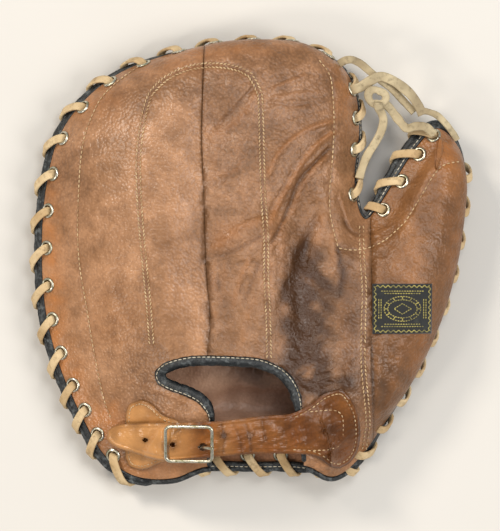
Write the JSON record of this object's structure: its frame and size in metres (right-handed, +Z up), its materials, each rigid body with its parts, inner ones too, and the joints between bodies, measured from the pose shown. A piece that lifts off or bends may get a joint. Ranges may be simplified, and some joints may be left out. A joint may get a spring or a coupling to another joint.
{
  "type": "first baseman mitt",
  "caption": "Vintage left-hand first baseman mitt of tan leather, palm down, with a whip-laced black edge, an open web with loose laces, an open back and a buckled wrist strap.",
  "frame": {"origin": "middle of the bounding box, on the surface that the palm rests on", "axes": "+Z up out of the mitt's back, +Y towards the finger ends, +X towards the thumb"},
  "size_m": [0.2722, 0.2772, 0.0677],
  "materials": {
    "back_leather": "worn satin grain",
    "thumb_leather": "worn, darkened",
    "palm_leather": "worn satin grain",
    "lining_leather": "smooth matt",
    "black_leather": "semi-gloss",
    "rawhide": "dry, matt",
    "strap_leather": "semi-gloss, worn",
    "nickel": "tarnished nickel plate",
    "label_cloth": "woven, matt"
  },
  "bodies": {
    "root": {"back_left": "back_leather", "back_right": "back_leather", "thumb_back": "thumb_leather", "palm_left": "palm_leather", "palm_right": "palm_leather", "palm_thumb": "palm_leather", "palm_lining": "lining_leather", "edge_welt": "black_leather", "edge_lace": "rawhide", "thumb_whip_lace": "rawhide", "finger_whip_lace": "rawhide", "eyelet_01": "nickel", "eyelet_02": "nickel", "eyelet_03": "nickel", "eyelet_04": "nickel", "eyelet_05": "nickel", "eyelet_06": "nickel", "eyelet_07": "nickel", "eyelet_08": "nickel", "eyelet_09": "nickel", "eyelet_10": "nickel", "eyelet_11": "nickel", "eyelet_12": "nickel", "eyelet_13": "nickel", "eyelet_14": "nickel", "eyelet_15": "nickel", "eyelet_16": "nickel", "eyelet_17": "nickel", "eyelet_18": "nickel", "eyelet_19": "nickel", "eyelet_20": "nickel", "eyelet_21": "nickel", "eyelet_22": "nickel", "eyelet_23": "nickel", "eyelet_24": "nickel", "eyelet_25": "nickel", "eyelet_26": "nickel", "eyelet_27": "nickel", "eyelet_28": "nickel", "eyelet_29": "nickel", "opening_binding": "black_leather", "flap_binding_left": "black_leather", "flap_binding_right": "black_leather", "wrist_strap": "strap_leather", "buckle_patch": "strap_leather", "label": "label_cloth", "buckle_frame": "nickel", "buckle_prong": "nickel", "web_lace_lower": "rawhide", "web_lace_outer": "rawhide", "web_lace_tip": "rawhide", "web_lace_diagonal": "rawhide", "web_lace_hanging": "rawhide", "web_knot": "rawhide"}
  },
  "joints": []
}
